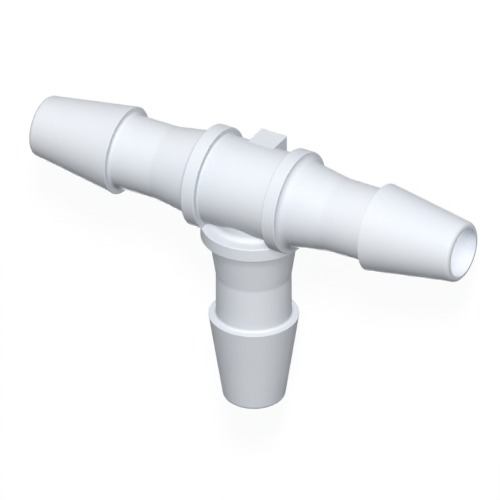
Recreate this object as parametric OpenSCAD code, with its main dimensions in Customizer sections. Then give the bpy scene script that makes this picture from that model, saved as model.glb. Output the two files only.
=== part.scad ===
// Hose barb tee, moulded in one piece: three tapered barbs on a short body with three collars.
// The run lies along X, the branch points to -Y, and both axes cross at the origin.
// The tee lies on the lowest lines of its collars, so Z points up through its front.

/* [Barbs] */
// Outer diameter of a straight neck, which the hose grips
neck_d = 12.5; // [11.5:0.1:13.2]
// Outer diameter of a barb at its shoulder
barb_d = 15; // [14.4:0.1:16.5]
// Diameter of a barb's cone where it meets the tip face, before the tip is rounded
tip_d = 10.2; // [9.8:0.1:11.6]
// Length of a barb, from its shoulder to its tip
barb_l = 15.9; // [12:0.1:19]
// Rounding of the outer edge of a tip
tip_round = 0.8; // [0.2:0.05:1]
// Rounding of the edge of a shoulder
shoulder_round = 0.1; // [0.05:0.01:0.3]
// Radius of the fillet between a shoulder and its neck
shoulder_fillet = 0.45; // [0.1:0.05:0.6]
// Length of the straight neck behind each barb
neck_l = 7.8; // [4:0.1:10]

/* [Run] */
// Length of the run, from tip to tip
run_l = 79.7; // [74:0.1:100]

/* [Branch] */
// Distance from the axis of the run to the tip of the branch
branch_reach = 39.9; // [37:0.1:50]

/* [Bores] */
// Diameter of the run's bore
run_bore_d = 8.4; // [6:0.1:9]
// Diameter of the branch's bore
branch_bore_d = 8.4; // [6:0.1:9]

/* [Body] */
// Outer diameter of the body between the two collars of the run
body_d = 15.2; // [14.5:0.1:16.4]
// Outer diameter of the short hub that joins the body to the branch's collar
hub_d = 12.5; // [11.5:0.1:13.5]
// Radius of the fillet between a collar of the run and the body
body_fillet = 0.25; // [0.1:0.05:0.4]
// Radius of the fillet between the hub and the branch's collar
hub_fillet = 0.9; // [0.2:0.1:1.2]

/* [Collars] */
// Outer diameter of the collars
collar_d = 17.5; // [16.9:0.1:20]
// Thickness of a collar along its axis
collar_t = 2.45; // [1.5:0.05:3]
// Distance between the facing sides of the run's two collars
run_collar_gap = 12.8; // [12.6:0.1:16]
// Distance from the axis of the run to the near side of the branch's collar
branch_collar_at = 6.4; // [6:0.1:8]
// Rounding of the outer edges of a collar
collar_round = 0.2; // [0.1:0.05:0.6]

/* [Flares] */
// Diameter of a flare where its cone meets the far side of the collar
flare_d = 14.8; // [13.8:0.1:15.8]
// Radius of the fillet between a flare and its collar
flare_fillet = 1.2; // [0.3:0.1:1.5]
// Radius of the blend between a flare and its neck
neck_blend = 3; // [1:0.5:12]

/* [Tab] */
// Width of the tab along the run
tab_w = 4.8; // [3:0.1:8]
// Distance from the axis of the run to the tab's flat top, away from the branch
tab_top = 7.25; // [6.5:0.05:9]
// Distance from the axis of the run to the tab's flat back
tab_back = 7.1; // [5.5:0.1:7.7]
// Rounding of the tab's edges
tab_round = 0.2; // [0.1:0.05:0.6]

/* [Hidden] */
$fn = 128;
plastic = [0.93, 0.94, 0.96];
// Largest turn between two points of an arc, in degrees
arc_step = 15;
// How far a cut runs past the face that it opens
cut_past = 1;
run_collar_at = run_collar_gap / 2;
run_reach = run_l / 2;

// Points along an arc about a centre, from one angle to the other
function arc(centre, radius, from, to) =
    let (steps = max(2, ceil(abs(to - from) / arc_step)))
    [for (i = [0 : steps])
        let (a = from + (to - from) * i / steps)
        centre + radius * [cos(a), sin(a)]];

// Concave corner between the core that an arm starts from and the near side of its collar
function core_corner(core_r, fillet, collar_at) =
    arc([core_r + fillet, collar_at - fillet], fillet, 180, 90);

// The collar's two rounded outer edges
function collar_edges(collar_at) =
    let (r = collar_d / 2 - collar_round)
    concat(
        arc([r, collar_at + collar_round], collar_round, -90, 0),
        arc([r, collar_at + collar_t - collar_round], collar_round, 0, 90));

// Slope of a flare between the far side of its collar and its neck, in degrees
function flare_angle(flare_l) = atan((flare_d - neck_d) / 2 / flare_l);

// Concave corner between the far side of the collar and the flare, no wider than that side
function flare_corner(far_side, slope) =
    let (per_radius = 1 / cos(slope) - tan(slope),
         room = collar_d / 2 - collar_round - flare_d / 2,
         fillet = min(flare_fillet, room / per_radius))
    arc([flare_d / 2 + fillet * per_radius, far_side + fillet], fillet, -90, slope - 180);

// Blend from the flare into the straight neck, tangent to both
function neck_corner(flare_end, slope) =
    let (start = flare_end + neck_blend * tan(slope / 2))
    arc([neck_d / 2 + neck_blend, start], neck_blend, 180 + slope, 180);

// Concave corner between the neck and the shoulder of its barb
function shoulder_corner(shoulder_at) =
    arc([neck_d / 2 + shoulder_fillet, shoulder_at - shoulder_fillet], shoulder_fillet, 180, 90);

// Barb from its flat shoulder along its cone to its rounded tip
function barb(shoulder_at) =
    let (slope = atan((barb_d - tip_d) / 2 / barb_l),
         tip_at = shoulder_at + barb_l,
         edge_r = barb_d / 2 - shoulder_round * tan(slope) - shoulder_round / cos(slope),
         tip_r = tip_d / 2 + tip_round * tan(slope) - tip_round / cos(slope))
    concat(
        arc([edge_r, shoulder_at + shoulder_round], shoulder_round, -90, slope),
        arc([tip_r, tip_at - tip_round], tip_round, slope, 90));

// Outline of one arm as [radius, distance from the crossing of the axes]
function arm(core_r, fillet, collar_at, reach) =
    let (far_side = collar_at + collar_t,
         shoulder_at = reach - barb_l,
         flare_end = shoulder_at - neck_l,
         slope = flare_angle(flare_end - far_side))
    concat(
        [[core_r, 0]],
        core_corner(core_r, fillet, collar_at),
        collar_edges(collar_at),
        flare_corner(far_side, slope),
        neck_corner(flare_end, slope),
        shoulder_corner(shoulder_at),
        barb(shoulder_at),
        [[0, reach]]);

module arm_solid(core_r, fillet, collar_at, reach) {
    rotate_extrude()
        polygon(concat([[0, 0]], arm(core_r, fillet, collar_at, reach)));
}

// Both arms of the run, as one solid of revolution about X
module run() {
    half = arm(body_d / 2, body_fillet, run_collar_at, run_reach);
    other = [for (i = [len(half) - 1 : -1 : 1]) [half[i].x, -half[i].y]];
    rotate([0, 90, 0])
        rotate_extrude()
            polygon(concat(other, [for (i = [1 : len(half) - 1]) half[i]]));
}

// The branch's arm, with the hub that carries it, about -Y
module branch() {
    rotate([90, 0, 0])
        arm_solid(hub_d / 2, hub_fillet, branch_collar_at, branch_reach);
}

// Square with its two far corners rounded, from a base line at y = 0 up to y = h
module rounded_end(w, h) {
    r = min(tab_round, w / 2 - 0.1);
    polygon(concat(
        [[-w / 2, 0], [w / 2, 0]],
        arc([w / 2 - r, h - r], r, 0, 90),
        arc([r - w / 2, h - r], r, 90, 180)));
}

// Section of the tab across the run: flat top, flat back and a rounded corner between them
module tab_section() {
    polygon(concat(
        [[0, 0], [tab_top, 0]],
        arc([tab_top - tab_round, tab_back - tab_round], tab_round, 0, 90),
        [[0, tab_back]]));
}

// Tab on the body's back, on the side away from the branch
module tab() {
    intersection() {
        rotate([-90, 0, 90])
            linear_extrude(tab_w, center = true)
                tab_section();
        translate([0, 0, -tab_back])
            linear_extrude(tab_back)
                rounded_end(tab_w, tab_top);
        rotate([-90, 0, 0])
            linear_extrude(tab_top)
                rounded_end(tab_w, tab_back);
    }
}

module bores() {
    rotate([0, 90, 0])
        cylinder(d = run_bore_d, h = run_l + 2 * cut_past, center = true);
    rotate([90, 0, 0])
        cylinder(d = branch_bore_d, h = branch_reach + cut_past);
}

module tee() {
    color(plastic)
        difference() {
            union() {
                run();
                branch();
                tab();
            }
            bores();
        }
}

tee();
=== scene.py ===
# Hose barb tee: the camera, the studio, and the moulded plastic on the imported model.
import math
import bpy
from mathutils import Matrix, Vector


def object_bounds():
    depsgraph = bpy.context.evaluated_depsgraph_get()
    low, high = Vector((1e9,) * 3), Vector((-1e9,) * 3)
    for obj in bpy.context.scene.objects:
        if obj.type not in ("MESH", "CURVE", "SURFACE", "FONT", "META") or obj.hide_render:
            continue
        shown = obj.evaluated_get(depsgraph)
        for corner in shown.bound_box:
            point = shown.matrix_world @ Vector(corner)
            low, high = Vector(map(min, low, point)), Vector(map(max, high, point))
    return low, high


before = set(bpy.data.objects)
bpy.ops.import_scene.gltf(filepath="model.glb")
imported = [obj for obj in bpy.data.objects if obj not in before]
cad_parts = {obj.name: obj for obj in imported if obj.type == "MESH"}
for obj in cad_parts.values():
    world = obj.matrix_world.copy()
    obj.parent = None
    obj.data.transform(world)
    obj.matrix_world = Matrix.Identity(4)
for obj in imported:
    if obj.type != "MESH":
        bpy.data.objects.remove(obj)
cad_low, cad_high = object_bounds()

# The photo's view has no perspective. It sees the tee upright, with the branch hanging down,
# from this far to the right of the tee's front and this far above the level of the run.
VIEW_TURN = math.radians(30.0)
VIEW_RISE = math.radians(32.3)
# Roll of the camera about its line of sight. Above zero, its right side is the higher one.
VIEW_ROLL = math.radians(-0.25)
# Where the crossing of the two axes lies in the photo, in pixels, and the real size of a pixel
CROSSING_PX = (252.8, 188.4)
FRAME_CENTRE_PX = 249.5
FRAME_PX = 500
PIXEL = 0.1645e-3
# The camera's distance from the tee, and the nearest and farthest that it sees, in metres
CAMERA_DISTANCE = 0.5
CAMERA_NEAR = 0.01
CAMERA_FAR = 10


def lying(upright):
    """Turns a direction of the upright tee in the photo into the frame where it lies on its back."""
    x, y, z = upright
    return Vector((x, z, -y))


def add_camera():
    """Camera that sees the lying tee just as the photo sees the upright one."""
    turn_cos, turn_sin = math.cos(VIEW_TURN), math.sin(VIEW_TURN)
    rise_cos, rise_sin = math.cos(VIEW_RISE), math.sin(VIEW_RISE)
    level = lying((turn_cos, turn_sin, 0))
    upright = lying((-turn_sin * rise_sin, turn_cos * rise_sin, rise_cos))
    right = level * math.cos(VIEW_ROLL) + upright * math.sin(VIEW_ROLL)
    up = upright * math.cos(VIEW_ROLL) - level * math.sin(VIEW_ROLL)
    back = right.cross(up)
    shift_right = (FRAME_CENTRE_PX - CROSSING_PX[0]) * PIXEL
    shift_down = (FRAME_CENTRE_PX - CROSSING_PX[1]) * PIXEL
    centre = right * shift_right - up * shift_down
    camera = bpy.data.objects.new("camera", bpy.data.cameras.new("camera"))
    bpy.context.scene.collection.objects.link(camera)
    camera.data.type = "ORTHO"
    camera.data.ortho_scale = FRAME_PX * PIXEL
    camera.data.clip_start = CAMERA_NEAR
    camera.data.clip_end = CAMERA_FAR
    camera.location = centre + back * CAMERA_DISTANCE
    camera.rotation_mode = "QUATERNION"
    camera.rotation_quaternion = Matrix((right, up, back)).transposed().to_quaternion()
    bpy.context.scene.camera = camera


def node_tree(owner):
    """Empty node tree of a material or a world, with its output node."""
    owner.use_nodes = True
    tree = owner.node_tree
    tree.nodes.clear()
    kind = "ShaderNodeOutputWorld" if isinstance(owner, bpy.types.World) else "ShaderNodeOutputMaterial"
    return tree, tree.nodes.new(kind)


def calculate(tree, operation, *values):
    """Math node on the given values, each of them a number or the output of another node."""
    node = tree.nodes.new("ShaderNodeMath")
    node.operation = operation
    for socket, value in zip(node.inputs, values):
        if isinstance(value, bpy.types.NodeSocket):
            tree.links.new(value, socket)
        else:
            socket.default_value = value
    return node.outputs[0]


def plain_shader(tree, kind, colour):
    shader = tree.nodes.new(kind)
    shader.inputs["Color"].default_value = (*colour, 1)
    return shader


def mix_shaders(tree, share, first, second):
    """The first shader where the share is 0, and the second where it is 1."""
    mix = tree.nodes.new("ShaderNodeMixShader")
    tree.links.new(share, mix.inputs["Fac"])
    tree.links.new(first.outputs[0], mix.inputs[1])
    tree.links.new(second.outputs[0], mix.inputs[2])
    return mix


def seen_directly(tree):
    """1 for rays from the camera and for what gloss and glass show, and 0 for the light itself."""
    path = tree.nodes.new("ShaderNodeLightPath")
    reflected = calculate(tree, "MAXIMUM", path.outputs["Is Camera Ray"], path.outputs["Is Glossy Ray"])
    return calculate(tree, "MAXIMUM", reflected, path.outputs["Is Transmission Ray"])


WHITE = (1, 1, 1)
# Strength of the even light from all sides
AMBIENT = 0.145
AMBIENT_COLOUR = (0.95, 0.99, 1.03)
# The main light comes from one direction. Part of it casts the tee's shadow. The rest passes
# through the walls, as light does through this milky plastic, and reaches into the bores.
KEY_DIRECTION = (0.309, -0.558, 0.770)
KEY_SOFTNESS = math.radians(12)
KEY_STRENGTH = 0.65
THROUGH_STRENGTH = 2.49
# A fill from behind and below the upright tee stands for the light that a white table throws
# back, so that the sides turned away from the main light aren't murky
FILL_DIRECTION = (-0.38, 0.61, -0.70)
FILL_SOFTNESS = math.radians(20)
FILL_STRENGTH = 0.95


def add_lamp(name, towards, softness, strength, casts_shadow):
    lamp = bpy.data.objects.new(name, bpy.data.lights.new(name, "SUN"))
    lamp.data.energy = strength
    lamp.data.angle = softness
    lamp.data.use_shadow = casts_shadow
    lamp.rotation_mode = "QUATERNION"
    lamp.rotation_quaternion = lying(towards).to_track_quat("Z", "Y")
    bpy.context.scene.collection.objects.link(lamp)
    return lamp


def shine_through(lamp, stage):
    """Lets the lamp's light through a piece of the stage. The tee still shades it."""
    passed = bpy.data.collections.new(lamp.name + "_passes")
    passed.objects.link(stage)
    passed.collection_objects[0].light_linking.link_state = "EXCLUDE"
    lamp.light_linking.blocker_collection = passed


def add_light(floor):
    world = bpy.data.worlds.new("studio")
    bpy.context.scene.world = world
    tree, output = node_tree(world)
    ambient = plain_shader(tree, "ShaderNodeBackground", AMBIENT_COLOUR)
    ambient.inputs["Strength"].default_value = AMBIENT
    white = plain_shader(tree, "ShaderNodeBackground", WHITE)
    mix = mix_shaders(tree, seen_directly(tree), ambient, white)
    tree.links.new(mix.outputs[0], output.inputs["Surface"])
    add_lamp("key", KEY_DIRECTION, KEY_SOFTNESS, KEY_STRENGTH, True)
    add_lamp("key_through", KEY_DIRECTION, KEY_SOFTNESS, THROUGH_STRENGTH, False)
    fill = add_lamp("fill", FILL_DIRECTION, FILL_SOFTNESS, FILL_STRENGTH, True)
    shine_through(fill, floor)


FLOOR_SIZE = 6
# Share of the light that the floor throws back at the tee
FLOOR_BOUNCE = 0.2
# Share of the floor's look that is lit, which keeps the tee's soft shadow, and the even glow
# that brings the floor to white where nothing shades it
FLOOR_SHADED = 0.38
FLOOR_GLOW = 0.74


def add_floor():
    bpy.ops.mesh.primitive_plane_add(size=FLOOR_SIZE, location=(0, 0, cad_low.z))
    floor = bpy.context.object
    floor.name = "floor"
    material = bpy.data.materials.new("floor")
    tree, output = node_tree(material)
    bounce = plain_shader(tree, "ShaderNodeBsdfDiffuse", [FLOOR_BOUNCE] * 3)
    shaded = plain_shader(tree, "ShaderNodeBsdfDiffuse", [FLOOR_SHADED] * 3)
    glow = plain_shader(tree, "ShaderNodeEmission", WHITE)
    glow.inputs["Strength"].default_value = FLOOR_GLOW
    seen = tree.nodes.new("ShaderNodeAddShader")
    tree.links.new(shaded.outputs[0], seen.inputs[0])
    tree.links.new(glow.outputs[0], seen.inputs[1])
    mix = mix_shaders(tree, seen_directly(tree), bounce, seen)
    tree.links.new(mix.outputs[0], output.inputs["Surface"])
    floor.data.materials.append(material)
    return floor


# The plastic's two close shades, which drift into each other over the moulding
SHADE_COOL = (0.786, 0.824, 0.881)
SHADE_WARM = (0.822, 0.847, 0.889)
# Fineness of the plastic's patterns, in patterns per metre, and their octaves of detail
CLOUD_SCALE, CLOUD_DETAIL = 70, 3
SPECK_SCALE, SPECK_DETAIL = 1800, 2
FINISH_SCALE, FINISH_DETAIL = 420, 4
GRAIN_SCALE, GRAIN_DETAIL = 3600, 2
WAVE_SCALE, WAVE_DETAIL = 260, 1
# How strongly the finer octaves show, in most patterns and in the finish
PATTERN_ROUGHNESS = 0.5
FINISH_PATTERN_ROUGHNESS = 0.6
# Middle part of a noise, between which it is spread over a wanted range
NOISE_LOW = 0.3
NOISE_HIGH = 0.7
# Range that the clouds take in the mottle, and the share of the specks on top of it
CLOUD_LOW = 0.2
CLOUD_HIGH = 0.55
SPECK_SHARE = 0.25
# The surface's roughness and gloss, and the depth of its grain and ripple in metres
ROUGHNESS_LOW = 0.44
ROUGHNESS_HIGH = 0.54
SPECULAR = 0.2
GRAIN_DEPTH = 0.006e-3
WAVE_DEPTH = 0.010e-3
# Share of its colour that the plastic shows to light going from wall to wall, where the camera
# sees all of it. This paints shade into the corners and creases, which keeps their thin dark lines.
# The bores' walls show a larger share, which paints light on to them.
BOUNCE_SHARE_PAINTED_SHADE = 0.55
BORE_BOUNCE_SHARE_PAINTED_LIGHT = 0.82
# Radius within which the surface round an axis is a bore's wall
BORE_WALL = 4.4e-3
# Directions across the axis of the run and across the axis of the branch
ACROSS_RUN = (0, 1, 1)
ACROSS_BRANCH = (1, 0, 1)


def noise(tree, position, scale, detail, roughness=PATTERN_ROUGHNESS):
    node = tree.nodes.new("ShaderNodeTexNoise")
    node.inputs["Scale"].default_value = scale
    node.inputs["Detail"].default_value = detail
    node.inputs["Roughness"].default_value = roughness
    tree.links.new(position, node.inputs["Vector"])
    return node.outputs["Fac"]


def spread(tree, value, low, high):
    """Takes the middle part of a noise to the range from low to high."""
    node = tree.nodes.new("ShaderNodeMapRange")
    node.interpolation_type = "SMOOTHSTEP"
    node.inputs["From Min"].default_value = NOISE_LOW
    node.inputs["From Max"].default_value = NOISE_HIGH
    node.inputs["To Min"].default_value = low
    node.inputs["To Max"].default_value = high
    tree.links.new(value, node.inputs["Value"])
    return node.outputs["Result"]


def bump(tree, height, depth, under=None):
    node = tree.nodes.new("ShaderNodeBump")
    node.inputs["Strength"].default_value = 1
    node.inputs["Distance"].default_value = depth
    tree.links.new(height, node.inputs["Height"])
    if under is not None:
        tree.links.new(under, node.inputs["Normal"])
    return node.outputs["Normal"]


def near_axis(tree, position, across):
    """1 where the surface is as near to an axis as a bore's wall, by the directions across it."""
    flat = tree.nodes.new("ShaderNodeVectorMath")
    flat.operation = "MULTIPLY"
    flat.inputs[1].default_value = across
    tree.links.new(position, flat.inputs[0])
    distance = tree.nodes.new("ShaderNodeVectorMath")
    distance.operation = "LENGTH"
    tree.links.new(flat.outputs["Vector"], distance.inputs[0])
    return calculate(tree, "LESS_THAN", distance.outputs["Value"], BORE_WALL)


def in_bores(tree, position):
    """1 on the walls of the two bores. The branch's bore ends at the run, whose axis is at y = 0."""
    split = tree.nodes.new("ShaderNodeSeparateXYZ")
    tree.links.new(position, split.inputs[0])
    branch_side = calculate(tree, "LESS_THAN", split.outputs["Y"], 0)
    branch = calculate(tree, "MINIMUM", near_axis(tree, position, ACROSS_BRANCH), branch_side)
    return calculate(tree, "MAXIMUM", near_axis(tree, position, ACROSS_RUN), branch)


def painted_wall_shade(tree, position, shade):
    """Darker diffuse shader for the light that goes from wall to wall of the tee: painted shade in the
    corners and creases, and less of it on the bores' walls, which paints them lighter.
    """
    share = tree.nodes.new("ShaderNodeMapRange")
    share.inputs["To Min"].default_value = BOUNCE_SHARE_PAINTED_SHADE
    share.inputs["To Max"].default_value = BORE_BOUNCE_SHARE_PAINTED_LIGHT
    tree.links.new(in_bores(tree, position), share.inputs["Value"])
    dimmed = tree.nodes.new("ShaderNodeVectorMath")
    dimmed.operation = "SCALE"
    tree.links.new(shade, dimmed.inputs["Vector"])
    tree.links.new(share.outputs["Result"], dimmed.inputs["Scale"])
    painted_shade_diffuse = tree.nodes.new("ShaderNodeBsdfDiffuse")
    tree.links.new(dimmed.outputs["Vector"], painted_shade_diffuse.inputs["Color"])
    return painted_shade_diffuse


def plastic_material():
    """Satin moulded plastic: cloudy white, fine specks, and the grain and ripple of the mould."""
    material = bpy.data.materials.new("moulded_plastic")
    tree, output = node_tree(material)
    position = tree.nodes.new("ShaderNodeTexCoord").outputs["Object"]

    clouds = noise(tree, position, CLOUD_SCALE, CLOUD_DETAIL)
    specks = noise(tree, position, SPECK_SCALE, SPECK_DETAIL)
    cloudy = spread(tree, clouds, CLOUD_LOW, CLOUD_HIGH)
    mottle = calculate(tree, "MULTIPLY_ADD", specks, SPECK_SHARE, cloudy)
    shade = tree.nodes.new("ShaderNodeMix")
    shade.data_type = "RGBA"
    shade.inputs["A"].default_value = (*SHADE_COOL, 1)
    shade.inputs["B"].default_value = (*SHADE_WARM, 1)
    tree.links.new(spread(tree, mottle, 0, 1), shade.inputs["Factor"])

    finish = noise(tree, position, FINISH_SCALE, FINISH_DETAIL, FINISH_PATTERN_ROUGHNESS)
    grain = noise(tree, position, GRAIN_SCALE, GRAIN_DETAIL)
    wave = noise(tree, position, WAVE_SCALE, WAVE_DETAIL)
    relief = bump(tree, grain, GRAIN_DEPTH, bump(tree, wave, WAVE_DEPTH))

    plastic = tree.nodes.new("ShaderNodeBsdfPrincipled")
    plastic.inputs["Specular IOR Level"].default_value = SPECULAR
    tree.links.new(shade.outputs["Result"], plastic.inputs["Base Color"])
    tree.links.new(spread(tree, finish, ROUGHNESS_LOW, ROUGHNESS_HIGH), plastic.inputs["Roughness"])
    tree.links.new(relief, plastic.inputs["Normal"])

    # Rays going from wall to wall see the darker shader: painted shade in the corners and creases,
    # painted light on the bores' walls
    from_wall = tree.nodes.new("ShaderNodeLightPath").outputs["Is Diffuse Ray"]
    mix = mix_shaders(tree, from_wall, plastic, painted_wall_shade(tree, position, shade.outputs["Result"]))
    tree.links.new(mix.outputs[0], output.inputs["Surface"])
    return material


add_camera()
add_light(add_floor())
bpy.context.scene.view_settings.view_transform = "Standard"

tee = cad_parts["tee"]
tee.data.materials.clear()
tee.data.materials.append(plastic_material())
